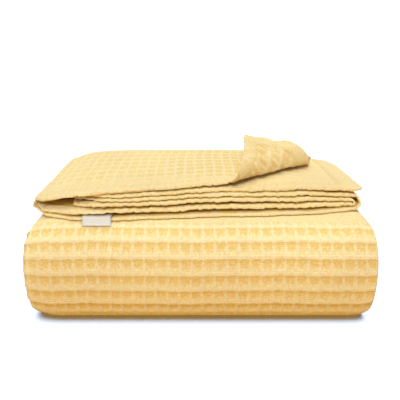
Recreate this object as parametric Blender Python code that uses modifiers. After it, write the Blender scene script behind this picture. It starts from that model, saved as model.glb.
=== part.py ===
"""Folded waffle weave cotton blanket with its woven label.

The blanket is one hemmed sheet. It is folded across its width into six layers
that lie back and forth over each other, and this strip of six layers is rolled
flat from the inner end, so that its last pass lies loose on top of the bundle.
The front corner of the top layer is turned up and back.

Metres, +Z up. The front of the bundle faces -Y, and the origin is in the middle
of the surface that it stands on.
"""
import math
from collections import namedtuple

import bmesh
import bpy
import numpy as np
from mathutils import Vector

MM = 0.001

# --- Driving dimensions --------------------------------------------------------
PATH_LENGTH = 1.468          # length of the strip's inner layer, from hem to hem
SHEET_THICKNESS = 2.2 * MM   # the pressed waffle cloth
LAYER_PITCH = 3.8 * MM       # layer to layer inside the bundle
PASS_GAP = 3.8 * MM          # layer to layer where two passes meet
BUNDLE_HEIGHT = 115 * MM     # the rolled passes, without the loose top pass
FRONT_BEND_Y = 48 * MM       # where the front turns start, behind the front face
BACK_BEND_Y = 250 * MM       # where the back turns start, behind the front face
FOREMOST_HEM_Y = 40 * MM     # the start of the strip's path, in front of every hem
LOOSE_GAP = 0.9 * MM         # between the bundle and the loose pass on it

# --- Heights of the inner layer of each pass, worked out from those --------------
TOP_LEVEL = 5                # the levels of a pass: 0 is its inner layer, 5 its outer
HALF = SHEET_THICKNESS / 2
PASS_RISE = TOP_LEVEL * LAYER_PITCH
BOTTOM_Z = HALF + PASS_RISE
CROWN_Z = BUNDLE_HEIGHT - HALF - PASS_RISE
SECOND_Z = BOTTOM_Z + PASS_GAP + PASS_RISE
FOURTH_Z = CROWN_Z - PASS_GAP - PASS_RISE
MIDDLE_Z = SECOND_Z + PASS_GAP + PASS_RISE
LOOSE_Z = BUNDLE_HEIGHT + LOOSE_GAP + HALF

# A half turn of the strip: the steps of the straight pass before it, the line where
# it starts and ends, the heights that it joins, how far it reaches past that line,
# how square it is, and its own steps.
Bend = namedtuple("Bend", "run_steps y z_from z_to reach square steps")
LOOSE_STEPS = 5              # steps along the loose pass
BENDS = (
    Bend(LOOSE_STEPS, BACK_BEND_Y, LOOSE_Z, BOTTOM_Z, 38 * MM, 2.3, 8),
    Bend(3, FRONT_BEND_Y, BOTTOM_Z, CROWN_Z, -28 * MM, 2.3, 8),
    Bend(2, BACK_BEND_Y - 2 * MM, CROWN_Z, SECOND_Z, 15 * MM, 2.1, 5),
    Bend(1, FRONT_BEND_Y + 11 * MM, SECOND_Z, FOURTH_Z, -12 * MM, 2.0, 4),
    Bend(1, BACK_BEND_Y - 14 * MM, FOURTH_Z, MIDDLE_Z, 3.2 * MM, 2.0, 3),
)

# A layer of the strip, in the order in which the sheet runs from side hem to side
# hem: its level, where its straight part starts and ends inside the bundle and in
# the loose pass, and the columns between, as shares of the way.
Layer = namedtuple("Layer", "level start end loose_start loose_end columns")
LAYERS = (
    Layer(5, 0.165, -0.1925, 0.1275, -0.2015, (0.1, 0.21, 0.32, 0.44, 0.58, 0.73, 0.87, 0.96)),
    Layer(0, -0.1925, 0.172, -0.2015, 0.183, (0.04, 0.12, 0.26, 0.52, 0.82)),
    Layer(3, 0.172, -0.1705, 0.183, -0.1500, (0.18, 0.5, 0.82)),
    Layer(2, -0.1705, 0.171, -0.1500, 0.180, (0.18, 0.5, 0.82)),
    Layer(1, 0.171, -0.1905, 0.180, -0.1950, (0.17, 0.48, 0.74, 0.88, 0.965)),
    Layer(4, -0.1905, 0.162, -0.1950, 0.170, (0.035, 0.12, 0.26, 0.53, 0.71, 0.87)),
)
# The fold from each layer to the next: how far it reaches past them, and its steps.
Fold = namedtuple("Fold", "reach steps")
FOLDS = (
    Fold(5.0 * MM, 5),
    Fold(7.0 * MM, 5),
    Fold(1.5 * MM, 4),
    Fold(2.0 * MM, 4),
    Fold(1.9 * MM, 4),
)
# A side hem, which hangs down over the right side of the bundle and lies flat in the
# loose pass: how far out it reaches, the level of its edge, and its steps.
SideHem = namedtuple("SideHem", "reach level loose_reach steps")
OUTER_HEM = SideHem(25 * MM, 3.8, 27 * MM, 3)
INNER_HEM = SideHem(20 * MM, 2.3, 26 * MM, 3)

# Height of each level above its pass's inner layer, in millimetres, from the left
# side to the right: inside the bundle, at the front hems of the loose pass, and
# where the loose pass goes over into the back turn.
STATIONS = (-0.200, -0.185, -0.150, -0.100, 0.0, 0.070, 0.120, 0.172, 0.198)
BUNDLE_HEIGHTS = (
    (0.0, 0.0, 0.0, 0.0, 0.0, 0.0, 0.0, 0.0, 0.0),
    (3.1, 3.8, 3.8, 3.8, 3.8, 3.8, 3.8, 3.8, 3.8),
    (4.4, 7.6, 7.6, 7.6, 7.6, 7.6, 7.6, 7.6, 7.6),
    (5.7, 11.4, 11.4, 11.4, 11.4, 11.4, 11.4, 11.4, 11.4),
    (7.0, 15.2, 15.2, 15.2, 15.2, 15.2, 15.2, 15.2, 15.2),
    (10.2, 19.0, 19.0, 19.0, 19.0, 19.0, 19.0, 19.0, 19.0),
)
HEM_HEIGHTS = (
    (0.0, 0.0, 0.0, 0.0, 0.0, 0.0, 0.0, 0.0, 0.0),
    (3.2, 4.6, 6.0, 7.0, 7.5, 7.5, 6.5, 5.2, 4.6),
    (4.5, 8.0, 11.5, 13.0, 14.0, 13.5, 12.0, 9.6, 9.0),
    (5.8, 10.5, 14.8, 16.6, 18.0, 17.5, 16.5, 14.2, 13.5),
    (7.2, 13.0, 18.0, 20.2, 22.0, 22.0, 21.5, 20.5, 20.0),
    (10.4, 16.5, 21.5, 24.0, 28.0, 28.5, 27.0, 25.5, 25.0),
)
BACK_HEIGHTS = (
    (0.0, 0.0, 0.0, 0.0, 0.0, 0.0, 0.0, 0.0, 0.0),
    (3.2, 5.0, 5.6, 5.8, 5.8, 5.4, 4.6, 3.4, 3.4),
    (4.5, 9.2, 10.8, 11.4, 11.4, 10.6, 9.2, 6.8, 6.8),
    (5.8, 13.0, 15.8, 16.8, 17.0, 15.8, 13.6, 10.2, 9.8),
    (7.2, 17.0, 21.0, 22.2, 22.6, 21.0, 18.0, 13.6, 12.4),
    (10.8, 22.0, 26.4, 27.8, 28.2, 27.2, 24.4, 20.2, 18.4),
)
# Where the front hem lies behind the front face, in millimetres: the inner layer's
# hem and the outer layer's, with the others between them.
INNER_HEM_Y = (82, 60, 44, 43, 54, 58, 62, 74, 80)
OUTER_HEM_Y = (84, 67, 62, 68, 85, 92, 96, 96, 96)

# The turned-up corner: the two ends of its crease, the radius of the roll, and how
# far it turns.
CREASE_FRONT = Vector((0.022, 0.090))
CREASE_BACK = Vector((0.1545, 0.214))
CORNER_RADIUS = 11 * MM
CORNER_TURN = math.radians(163)
CORNER_STEPS = 6

# The woven label, sewn in over the inner layer's front hem.
LABEL_X = (-0.137, -0.1045)
LABEL_THICKNESS = 0.6 * MM
LABEL_GAP = 0.35 * MM
LABEL_TUCK = 14 * MM         # the part that lies between the two lowest layers
LABEL_FOOT_DROP = 0.4 * MM   # its foot above the top of the bundle

SAMPLES = 48                 # points to a curved stretch, before it is cut into steps

CLOTH_COLOUR = (0.91, 0.72, 0.36, 1.0)
LABEL_COLOUR = (0.86, 0.81, 0.68, 1.0)


def smooth_step(value):
    """Ease from 0 to 1 while value goes from 0 to 1."""
    value = min(max(value, 0.0), 1.0)
    return value * value * (3 - 2 * value)


def superellipse(angle, square):
    """Return the sine and cosine of an angle, pushed out towards a square."""
    power = 2 / square
    sine = abs(math.sin(angle)) ** power
    cosine = math.copysign(abs(math.cos(angle)) ** power, math.cos(angle))
    return sine, cosine


class Strip:
    """The path of a pass's inner layer, seen from the side, by distance along it."""

    def __init__(self):
        points = [(FOREMOST_HEM_Y, LOOSE_Z)]
        self.rows = []
        for bend in BENDS:
            start = self.add_turn(points, bend)
            previous = self.rows[-1] if self.rows else 0.0
            self.add_rows(previous, start, bend.run_steps)
            self.add_rows(start, self.length(points), bend.steps)
        forward = (points[-1][0] - PATH_LENGTH, points[-1][1])
        points.append(forward)
        self.add_rows(self.rows[-1], PATH_LENGTH, 1)
        self.points = np.array(points)
        steps = np.linalg.norm(np.diff(self.points, axis=0), axis=1)
        self.along = np.concatenate(([0.0], np.cumsum(steps)))
        self.loose_run = BACK_BEND_Y - FOREMOST_HEM_Y
        self.back_turn = self.rows[LOOSE_STEPS + BENDS[0].steps] - self.loose_run

    @staticmethod
    def length(points):
        """Return the length of the path so far."""
        return sum(math.dist(a, b) for a, b in zip(points, points[1:]))

    def add_turn(self, points, bend):
        """Append a half turn to the path and return the distance where it starts."""
        middle = (bend.z_from + bend.z_to) / 2
        half = (bend.z_from - bend.z_to) / 2
        start = self.length(points + [(bend.y, bend.z_from)])
        for step in range(SAMPLES + 1):
            sine, cosine = superellipse(math.pi * step / SAMPLES, bend.square)
            points.append((bend.y + bend.reach * sine, middle + half * cosine))
        return start

    def add_rows(self, start, end, steps):
        """Add the distances of the sheet's rows from start to end."""
        if not self.rows:
            self.rows.append(start)
        self.rows += [start + (end - start) * step / steps for step in range(1, steps + 1)]

    def at(self, distance):
        """Return the point at a distance and the outward direction there."""
        step = 1.5 * MM
        y, z = (np.interp(distance, self.along, self.points[:, k]) for k in (0, 1))
        ahead = [np.interp(distance + step, self.along, self.points[:, k]) for k in (0, 1)]
        behind = [np.interp(distance - step, self.along, self.points[:, k]) for k in (0, 1)]
        tangent = Vector((ahead[0] - behind[0], ahead[1] - behind[1])).normalized()
        return Vector((y, z)), Vector((-tangent.y, tangent.x))


class Section:
    """The six layers across the strip, by distance along the cloth."""

    def __init__(self):
        self.bundle = []         # (x, level) where the strip is rolled
        self.loose = []          # (x, level) where the top pass lies loose
        self.marks = []          # numbers of the points that become columns
        first, last = LAYERS[0], LAYERS[-1]
        self.add_hem(OUTER_HEM, first, 1)
        for number, layer in enumerate(LAYERS):
            self.add_layer(layer)
            if number == 0:
                self.top_layer_end = len(self.bundle) - 1
            if number < len(FOLDS):
                self.add_fold(FOLDS[number], layer, LAYERS[number + 1])
        self.add_hem(INNER_HEM, last, -1)
        flat = np.array([(x, level * LAYER_PITCH) for x, level in self.bundle])
        steps = np.linalg.norm(np.diff(flat, axis=0), axis=1)
        self.along = np.concatenate(([0.0], np.cumsum(steps)))
        self.bundle = np.array(self.bundle)
        self.loose = np.array(self.loose)
        self.columns = [self.along[mark] for mark in self.marks]
        self.top_layer_end = self.along[self.top_layer_end]

    def add(self, bundle, loose, mark=False):
        """Add one point of the section in both its states."""
        self.bundle.append(bundle)
        self.loose.append(loose)
        if mark:
            self.marks.append(len(self.bundle) - 1)

    def add_hem(self, hem, layer, direction):
        """Add a side hem, from its edge inwards (1) or from its layer outwards (-1)."""
        x_inner = layer.start if direction == 1 else layer.end
        loose_inner = layer.loose_start if direction == 1 else layer.loose_end
        drop = layer.level - hem.level
        count = SAMPLES // hem.steps * hem.steps
        steps = range(count + 1)
        for step in (steps if direction == -1 else reversed(steps)):
            angle = math.pi / 2 * step / count
            bundle = (x_inner + hem.reach * math.sin(angle), hem.level + drop * math.cos(angle))
            loose = (loose_inner + hem.loose_reach * step / count, layer.level)
            self.add(bundle, loose, step % (count // hem.steps) == 0)

    def add_layer(self, layer):
        """Add the straight part of a layer, with its columns."""
        for share in layer.columns:
            x = layer.start + (layer.end - layer.start) * share
            loose_x = layer.loose_start + (layer.loose_end - layer.loose_start) * share
            self.add((x, layer.level), (loose_x, layer.level), True)

    def add_fold(self, fold, layer, following):
        """Add the fold from one layer to the following one."""
        side = math.copysign(1, layer.end)
        middle = (layer.level + following.level) / 2
        half = (layer.level - following.level) / 2
        count = SAMPLES // fold.steps * fold.steps
        for step in range(count + 1):
            sine, cosine = superellipse(math.pi * step / count, 2.0)
            share = step / count
            tip = side * fold.reach * sine
            x = layer.end * (1 - share) + following.start * share + tip
            loose_x = layer.loose_end * (1 - share) + following.loose_start * share + tip
            level = middle + half * cosine
            self.add((x, level), (loose_x, level), step % (count // fold.steps) == 0)

    def at(self, distance, looseness):
        """Return the place across and the level at a distance along the cloth."""
        rolled = [np.interp(distance, self.along, self.bundle[:, k]) for k in (0, 1)]
        loose = [np.interp(distance, self.along, self.loose[:, k]) for k in (0, 1)]
        return tuple(r + (l - r) * looseness for r, l in zip(rolled, loose))


def level_height(table, level, x):
    """Return the height of a level, which may lie between two rows of the table."""
    below = int(min(math.floor(level), TOP_LEVEL - 1))
    low, high = (np.interp(x, STATIONS, table[row]) for row in (below, below + 1))
    return MM * (low + (high - low) * (level - below))


def hem_line(level, x):
    """Return how far behind the front face a layer's front hem lies."""
    inner, outer = (np.interp(x, STATIONS, table) for table in (INNER_HEM_Y, OUTER_HEM_Y))
    return MM * (inner + (outer - inner) * level / TOP_LEVEL)


def lay_sheet(strip, section, across, along):
    """Return the place of a point of the flat sheet once it is folded and rolled."""
    easing = smooth_step((along - strip.loose_run) / strip.back_turn)
    drawing_in = smooth_step((along - 0.6 * strip.loose_run) / (0.7 * strip.loose_run))
    x, level = section.at(across, 1 - drawing_in)
    hem, back, bundle = (
        level_height(table, level, x) for table in (HEM_HEIGHTS, BACK_HEIGHTS, BUNDLE_HEIGHTS))
    if along < strip.loose_run:
        share = along / strip.loose_run
        height = hem + (back - hem) * share
        start = hem_line(level, x) - FOREMOST_HEM_Y
        along = start + along * (1 - start / strip.loose_run)
    else:
        height = back + (bundle - back) * easing
    point, outward = strip.at(along)
    place = point + outward * height
    return Vector((x, place.x, place.y))


def turn_corner(mesh, faces):
    """Turn up the front corner of the top layer over its crease.

    The faces are cut along lines beside the crease first, so that the roll is round.
    """
    crease = (CREASE_BACK - CREASE_FRONT).normalized()
    away = Vector((crease.y, -crease.x))
    rolled = CORNER_RADIUS * CORNER_TURN
    cuts = [rolled * step / CORNER_STEPS for step in range(CORNER_STEPS + 1)]
    cuts += [rolled + 0.5 * rolled]
    for cut in cuts:
        front = CREASE_FRONT + away * cut
        edges = {edge for face in faces for edge in face.edges}
        verts = {vert for face in faces for vert in face.verts}
        result = bmesh.ops.bisect_plane(
            mesh, geom=list(faces) + list(edges) + list(verts), dist=0.2 * MM,
            plane_co=(front.x, front.y, 0), plane_no=(away.x, away.y, 0))
        faces = [item for item in result["geom"] if isinstance(item, bmesh.types.BMFace)]
    for vert in {vert for face in faces for vert in face.verts}:
        past = (vert.co.xy - CREASE_FRONT).dot(away)
        if past <= 0:
            continue
        angle = min(past / CORNER_RADIUS, CORNER_TURN)
        free = max(past - rolled, 0)
        forward = CORNER_RADIUS * math.sin(angle) + free * math.cos(CORNER_TURN)
        lift = CORNER_RADIUS * (1 - math.cos(angle)) + free * math.sin(CORNER_TURN)
        vert.co.xy += away * (forward - past)
        vert.co.z += lift


def fabric(name, colour, roughness):
    """Return a plain matt material for cloth."""
    material = bpy.data.materials.new(name)
    material.use_nodes = True
    shader = material.node_tree.nodes["Principled BSDF"]
    shader.inputs["Base Color"].default_value = colour
    shader.inputs["Roughness"].default_value = roughness
    shader.inputs["Metallic"].default_value = 0.0
    return material


def add_object(name, mesh, material, thickness, parts):
    """Make a mesh an object of the part, with the thickness of its cloth."""
    data = bpy.data.meshes.new(name)
    mesh.to_mesh(data)
    mesh.free()
    data.materials.append(material)
    piece = bpy.data.objects.new(name, data)
    parts.objects.link(piece)
    solidify = piece.modifiers.new("cloth thickness", "SOLIDIFY")
    solidify.thickness = thickness
    solidify.offset = 0.0
    return piece


def blanket_mesh(strip, section):
    """Return the blanket's sheet, folded, rolled and with its corner turned up."""
    columns, rows = section.columns, strip.rows
    mesh = bmesh.new()
    bmesh.ops.create_grid(
        mesh, x_segments=len(columns) - 1, y_segments=len(rows) - 1, size=0.5)
    corner_verts = set()
    for vert in mesh.verts:
        column = round((vert.co.x + 0.5) * (len(columns) - 1))
        row = round((vert.co.y + 0.5) * (len(rows) - 1))
        if columns[column] <= section.top_layer_end and row <= LOOSE_STEPS:
            corner_verts.add(vert)
        vert.co = lay_sheet(strip, section, columns[column], rows[row])
    top_faces = [face for face in mesh.faces if corner_verts.issuperset(face.verts)]
    turn_corner(mesh, top_faces)
    return mesh


def label_mesh():
    """Return the label's strip, from under the second layer down over the lowest hem."""
    middle_x = sum(LABEL_X) / 2
    under = LOOSE_Z + level_height(HEM_HEIGHTS, 1, middle_x) - HALF - LABEL_GAP
    foot = BUNDLE_HEIGHT + LABEL_FOOT_DROP
    profile = (
        (LABEL_TUCK, under - LABEL_THICKNESS / 2),
        (2.0 * MM, under - LABEL_THICKNESS / 2),
        (-0.9 * MM, under - 1.3 * MM),
        (-2.4 * MM, under - 3.6 * MM),
        (-4.6 * MM, under - 5.6 * MM),
        (-10.5 * MM, foot),
    )
    mesh = bmesh.new()
    bmesh.ops.create_grid(mesh, x_segments=2, y_segments=len(profile) - 1, size=0.5)
    for vert in mesh.verts:
        y, z = profile[round((0.5 - vert.co.y) * (len(profile) - 1))]
        x = LABEL_X[0] + (vert.co.x + 0.5) * (LABEL_X[1] - LABEL_X[0])
        vert.co = (x, hem_line(0, x) + y, z)
    return mesh


def stand_on_origin(pieces):
    """Move the pieces so that the origin is in the middle of their underside."""
    graph = bpy.context.evaluated_depsgraph_get()
    corners = []
    for piece in pieces:
        shown = piece.evaluated_get(graph)
        corners += [shown.matrix_world @ vert.co for vert in shown.data.vertices]
    low = Vector(min(corner[k] for corner in corners) for k in range(3))
    high = Vector(max(corner[k] for corner in corners) for k in range(3))
    shift = Vector((-(low.x + high.x) / 2, -(low.y + high.y) / 2, -low.z))
    for piece in pieces:
        piece.location = shift


def main():
    for item in list(bpy.data.objects):
        bpy.data.objects.remove(item, do_unlink=True)
    parts = bpy.data.collections.new("waffle_blanket")
    bpy.context.scene.collection.children.link(parts)
    strip, section = Strip(), Section()
    cloth = fabric("waffle cotton", CLOTH_COLOUR, 0.9)
    woven = fabric("woven label tape", LABEL_COLOUR, 0.7)
    blanket = add_object(
        "blanket_cloth", blanket_mesh(strip, section), cloth, SHEET_THICKNESS, parts)
    label = add_object("hem_label", label_mesh(), woven, LABEL_THICKNESS, parts)
    stand_on_origin((blanket, label))


main()
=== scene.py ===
"""Folded waffle weave cotton blanket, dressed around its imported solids.

The blanket is one hemmed sheet. It is built flat, as a thin slab whose faces are
cut finely where the waffle shows, and then every point of it is folded across the
sheet's width into six layers and rolled flat along its length, as the real one is.
The last pass of the roll lies loose on top, and its front corner is turned up.

Metres, +Z up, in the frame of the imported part.
"""

import logging
import math
from dataclasses import dataclass, field
from enum import Enum
from typing import Any

import bmesh
import bpy
import numpy as np
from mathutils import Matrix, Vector


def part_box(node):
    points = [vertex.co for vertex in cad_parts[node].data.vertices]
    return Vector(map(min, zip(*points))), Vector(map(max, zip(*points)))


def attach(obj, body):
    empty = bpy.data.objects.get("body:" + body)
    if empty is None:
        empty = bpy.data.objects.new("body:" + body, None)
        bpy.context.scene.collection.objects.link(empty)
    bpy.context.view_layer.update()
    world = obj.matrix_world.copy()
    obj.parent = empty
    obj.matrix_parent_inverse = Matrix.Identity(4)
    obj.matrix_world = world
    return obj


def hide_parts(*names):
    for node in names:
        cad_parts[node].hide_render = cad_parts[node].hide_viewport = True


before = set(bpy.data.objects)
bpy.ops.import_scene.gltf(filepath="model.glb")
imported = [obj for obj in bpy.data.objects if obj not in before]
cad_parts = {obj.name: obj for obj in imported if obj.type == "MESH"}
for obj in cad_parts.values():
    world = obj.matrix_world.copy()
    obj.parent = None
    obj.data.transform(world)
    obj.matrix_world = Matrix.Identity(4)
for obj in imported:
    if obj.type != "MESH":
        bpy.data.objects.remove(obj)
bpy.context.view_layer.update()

Array = np.ndarray
MM = 0.001
FLAT = 1e-6          # a shorter length than any in the blanket, in metres
TINY = 1e-12         # what a length is divided by at least
BEFORE = -1.0        # a place before any edge of the sheet
OUTERMOST = 5        # the level of a pass's outer layer; its inner one has 0
SHAKE = (12.9898, 78.233, 43758.5453)    # factors that shake up the cells' numbers
ON_RIDGE = 0.6       # the highest relief that the cloth's colour shows
IN_PIT = -1.0        # the relief in a cell
IN_GAP = -2.0        # the relief whose colour paints the shade between two layers
LOG = logging.getLogger("waffle_blanket")


# --- Small helpers -------------------------------------------------------------
def smooth_step(value: Array) -> Array:
    """Ease from 0 to 1 while a value goes from 0 to 1.

    Args:
        value: Any numbers.

    Returns:
        The eased numbers, 0 below 0 and 1 above 1.
    """
    value = np.clip(value, 0.0, 1.0)
    return value * value * (3 - 2 * value)


def window(value: Array, low: float, high: float, fade: float) -> Array:
    """Return 1 between two limits and 0 outside them, with a soft edge.

    Args:
        value: Where to look.
        low: The lower limit, where the result is one half.
        high: The upper limit, where the result is one half.
        fade: The width of each soft edge.

    Returns:
        The share from 0 to 1 at each value.
    """
    rise = smooth_step((value - low) / fade + 0.5)
    fall = smooth_step((high - value) / fade + 0.5)
    return rise * fall


@dataclass(frozen=True)
class Ramp:
    """A soft way from 0 to 1.

    Attributes:
        start: Where it starts.
        width: How far it goes on until it is 1.
    """

    start: float
    width: float

    def up(self, value: Array) -> Array:
        """Return 0 before the ramp and 1 after it."""
        return smooth_step((value - self.start) / self.width)

    def down(self, value: Array) -> Array:
        """Return 1 before the ramp and 0 after it."""
        return 1 - self.up(value)


@dataclass(frozen=True)
class Wave:
    """An uneven wave, of several waves of which each is weaker than the one before.

    Attributes:
        height: Its height.
        lengths: The wave lengths that are mixed, in metres, the strongest first.
        turning: How far it shifts, in radians, for each unit of what it changes with.
    """

    height: float
    lengths: tuple[float, ...]
    turning: float = 1.0

    def at(self, place: Array, other: Array | float) -> Array:
        """Return the wave between about -height and height.

        Args:
            place: Distance along the wave, in metres.
            other: What it changes with, such as the layer.

        Returns:
            The wave at each place.
        """
        weakening, stirring, apart = 0.6, 1.3, 2.1
        phase = other * self.turning
        total = np.zeros_like(place)
        weight = 0.0
        for number, length in enumerate(self.lengths):
            share = 1 / (1 + weakening * number)
            turn = 2 * math.pi * place / length + phase * (stirring + number) + apart * number
            total += share * np.sin(turn)
            weight += share
        return self.height * (total / weight)


# --- The path of the roll, seen from the side ----------------------------------
@dataclass(frozen=True)
class Turn:
    """A half turn of the rolled strip.

    Attributes:
        y: The line where the turn starts and ends.
        z_from: The height where it starts.
        z_to: The height where it ends.
        reach: How far it goes past the line, negative towards the front.
        square: How square it is, 2 for an ellipse.
        rows: The steps that the sheet takes round it.
    """

    y: float
    z_from: float
    z_to: float
    reach: float
    square: float
    rows: int


@dataclass
class RollPath:
    """The way of the strip's inner layer, from the loose hem to the inner end."""

    cloth: float = 2.2 * MM
    layer_pitch: float = 3.8 * MM
    pass_gap: float = 3.8 * MM
    bundle_height: float = 115 * MM
    loose_gap: float = 0.9 * MM
    front_y: float = 48 * MM
    back_y: float = 250 * MM
    foremost_hem: float = 40 * MM
    length: float = 1.468
    samples: int = 120
    points: Array = field(init=False)
    along: Array = field(init=False)
    spans: list[tuple[float, float]] = field(init=False)

    def __post_init__(self) -> None:
        """Lay out the turns one after the other and measure the way."""
        points = [(self.foremost_hem, self.loose_z)]
        self.spans = []
        for turn in self.turns():
            start = self.measure(points + [(turn.y, turn.z_from)])
            points += self.turn_points(turn)
            self.spans.append((start, self.measure(points)))
        points.append((points[-1][0] - self.length, points[-1][1]))
        self.points = np.array(points)
        steps = np.linalg.norm(np.diff(self.points, axis=0), axis=1)
        self.along = np.concatenate(([0.0], np.cumsum(steps)))

    @property
    def pass_rise(self) -> float:
        """Height from a pass's inner layer to its outer one."""
        return OUTERMOST * self.layer_pitch

    @property
    def loose_z(self) -> float:
        """Height of the loose pass's lowest layer."""
        return self.bundle_height + self.loose_gap + self.cloth / 2

    @property
    def loose_run(self) -> float:
        """Length of the loose pass up to the back turn."""
        return self.back_y - self.foremost_hem

    @property
    def back_turn(self) -> float:
        """Length of the back turn that the loose pass goes over into."""
        return self.spans[0][1] - self.loose_run

    def turns(self) -> tuple[Turn, ...]:
        """Work out the half turns of the roll.

        Returns:
            The turns in their order, from the outermost.
        """
        bottom = self.cloth / 2 + self.pass_rise
        crown = self.bundle_height - self.cloth / 2 - self.pass_rise
        second = bottom + self.pass_gap + self.pass_rise
        fourth = crown - self.pass_gap - self.pass_rise
        middle = second + self.pass_gap + self.pass_rise
        return (
            Turn(self.back_y, self.loose_z, bottom, reach=38 * MM, square=2.3, rows=18),
            Turn(self.front_y, bottom, crown, reach=-28 * MM, square=2.3, rows=18),
            Turn(self.back_y - 2 * MM, crown, second, reach=15 * MM, square=2.1, rows=12),
            Turn(self.front_y + 11 * MM, second, fourth, reach=-12 * MM, square=2.0, rows=10),
            Turn(self.back_y - 14 * MM, fourth, middle, reach=3.2 * MM, square=2.0, rows=6),
        )

    @staticmethod
    def measure(points: list[tuple[float, float]]) -> float:
        """Return the length of a line through points."""
        return sum(math.dist(a, b) for a, b in zip(points, points[1:]))

    def turn_points(self, turn: Turn) -> list[tuple[float, float]]:
        """Return the points of a half turn, a superellipse.

        Args:
            turn: The half turn.

        Returns:
            Its points as (y, z), from its start to its end.
        """
        angles = np.linspace(0, math.pi, self.samples + 1)
        power = 2 / turn.square
        out = np.abs(np.sin(angles)) ** power
        up = np.copysign(np.abs(np.cos(angles)) ** power, np.cos(angles))
        middle = (turn.z_from + turn.z_to) / 2
        half = (turn.z_from - turn.z_to) / 2
        return list(zip(turn.y + turn.reach * out, middle + half * up))

    def at(self, distance: Array) -> tuple[Array, Array]:
        """Return the points at distances and the outward directions there.

        Args:
            distance: Distances along the way.

        Returns:
            Two arrays of (y, z) rows, the points and the unit directions.
        """
        step = 2.5 * MM

        def place(where: Array) -> Array:
            """Return the (y, z) rows at distances."""
            return np.stack(
                [np.interp(where, self.along, self.points[:, k]) for k in (0, 1)], axis=1)

        tangent = place(distance + step) - place(distance - step)
        tangent /= np.linalg.norm(tangent, axis=1, keepdims=True)
        return place(distance), np.stack([-tangent[:, 1], tangent[:, 0]], axis=1)


# --- The section across the strip ----------------------------------------------
@dataclass(frozen=True)
class Layer:
    """A layer of the strip.

    Attributes:
        level: Its place in the stack, 0 for the inner layer of a pass, 5 for the outer.
        start: Where its straight part starts inside the bundle, from the middle.
        end: Where that part ends.
        loose_start: The same in the loose pass.
        loose_end: The same in the loose pass.
        cells: How many waffle cells a column of the slab is wide.
    """

    level: int
    start: float
    end: float
    loose_start: float
    loose_end: float
    cells: int


@dataclass(frozen=True)
class Fold:
    """The fold from one layer to the next.

    Attributes:
        reach: How far it reaches out.
        steps: The steps that the slab takes round it.
        inner: The face of the sheet that is inside it, 1 or -1.
        pointed: How pointed its tip is in the loose pass, 0 where it is round.
    """

    reach: float
    steps: int
    inner: int
    pointed: float


@dataclass(frozen=True)
class SideHem:
    """A free side hem: its reach, the level of its edge, and its loose reach."""

    reach: float
    level: float
    loose_reach: float


LAYERS = (
    Layer(5, 0.165, -0.1913, 0.1275, -0.2015, 1),
    Layer(0, -0.1913, 0.172, -0.2015, 0.183, 3),
    Layer(3, 0.172, -0.1705, 0.183, -0.1500, 4),
    Layer(2, -0.1705, 0.171, -0.1500, 0.180, 4),
    Layer(1, 0.171, -0.1905, 0.180, -0.1975, 4),
    Layer(4, -0.1905, 0.162, -0.1975, 0.170, 2),
)
FOLDS = (
    Fold(6.2 * MM, 8, -1, 0.4), Fold(7.0 * MM, 8, -1, 0.1), Fold(1.5 * MM, 5, -1, 0.0),
    Fold(2.0 * MM, 5, 1, 0.0), Fold(1.9 * MM, 6, 1, 0.3))
OUTER_HEM = SideHem(25 * MM, 3.8, 27 * MM)
INNER_HEM = SideHem(20 * MM, 2.3, 26 * MM)

# Height of each level above its pass's inner layer, in millimetres, at stations from
# the left side to the right: inside the bundle, at the front hems of the loose pass,
# and where the loose pass goes over into the back turn.
STATIONS = (-0.200, -0.185, -0.150, -0.100, 0.0, 0.070, 0.120, 0.172, 0.198)
BUNDLE_HEIGHTS = (
    (0.0, 0.0, 0.0, 0.0, 0.0, 0.0, 0.0, 0.0, 0.0),
    (3.1, 3.8, 3.8, 3.8, 3.8, 3.8, 3.8, 3.8, 3.8),
    (4.4, 7.6, 7.6, 7.6, 7.6, 7.6, 7.6, 7.6, 7.6),
    (5.7, 11.4, 11.4, 11.4, 11.4, 11.4, 11.4, 11.4, 11.4),
    (7.0, 15.2, 15.2, 15.2, 15.2, 15.2, 15.2, 15.2, 15.2),
    (10.2, 19.0, 19.0, 19.0, 19.0, 19.0, 19.0, 19.0, 19.0),
)
HEM_HEIGHTS = (
    (0.0, 0.0, 0.0, 0.0, 0.0, 0.0, 0.0, 0.0, 0.0),
    (3.0, 4.7, 6.0, 7.0, 7.5, 7.5, 6.5, 5.2, 4.6),
    (3.9, 8.0, 11.5, 13.0, 14.0, 13.5, 12.0, 9.6, 9.0),
    (4.8, 10.5, 14.8, 16.6, 18.0, 17.5, 16.5, 14.2, 13.5),
    (5.9, 13.0, 18.0, 20.2, 22.0, 22.0, 21.5, 20.5, 20.0),
    (8.9, 16.3, 21.5, 24.0, 28.0, 28.5, 27.0, 25.5, 25.0),
)
BACK_HEIGHTS = (
    (0.0, 0.0, 0.0, 0.0, 0.0, 0.0, 0.0, 0.0, 0.0),
    (3.2, 5.0, 5.6, 5.8, 5.8, 5.4, 4.6, 3.4, 3.4),
    (4.5, 9.2, 10.8, 11.4, 11.4, 10.6, 9.2, 6.8, 6.8),
    (5.8, 13.0, 15.8, 16.8, 17.0, 15.8, 13.6, 10.2, 9.8),
    (7.2, 17.0, 21.0, 22.2, 22.6, 21.0, 18.0, 13.6, 12.4),
    (10.8, 22.0, 26.4, 27.8, 28.2, 27.2, 24.4, 20.2, 18.4),
)
# How far behind the front face the front hems lie, in millimetres: the inner layer's
# and the outer layer's, with the others between them.
INNER_HEM_Y = (82, 60, 44, 43, 54, 58, 62, 74, 80)
OUTER_HEM_Y = (84, 67, 62, 68, 85, 92, 96, 96, 96)


class Side(Enum):
    """The two faces of the sheet."""

    FACE = 1       # outside on the top layer and on the bundle's front
    REVERSE = -1   # up on the second layer, and on the turned-up corner


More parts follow.
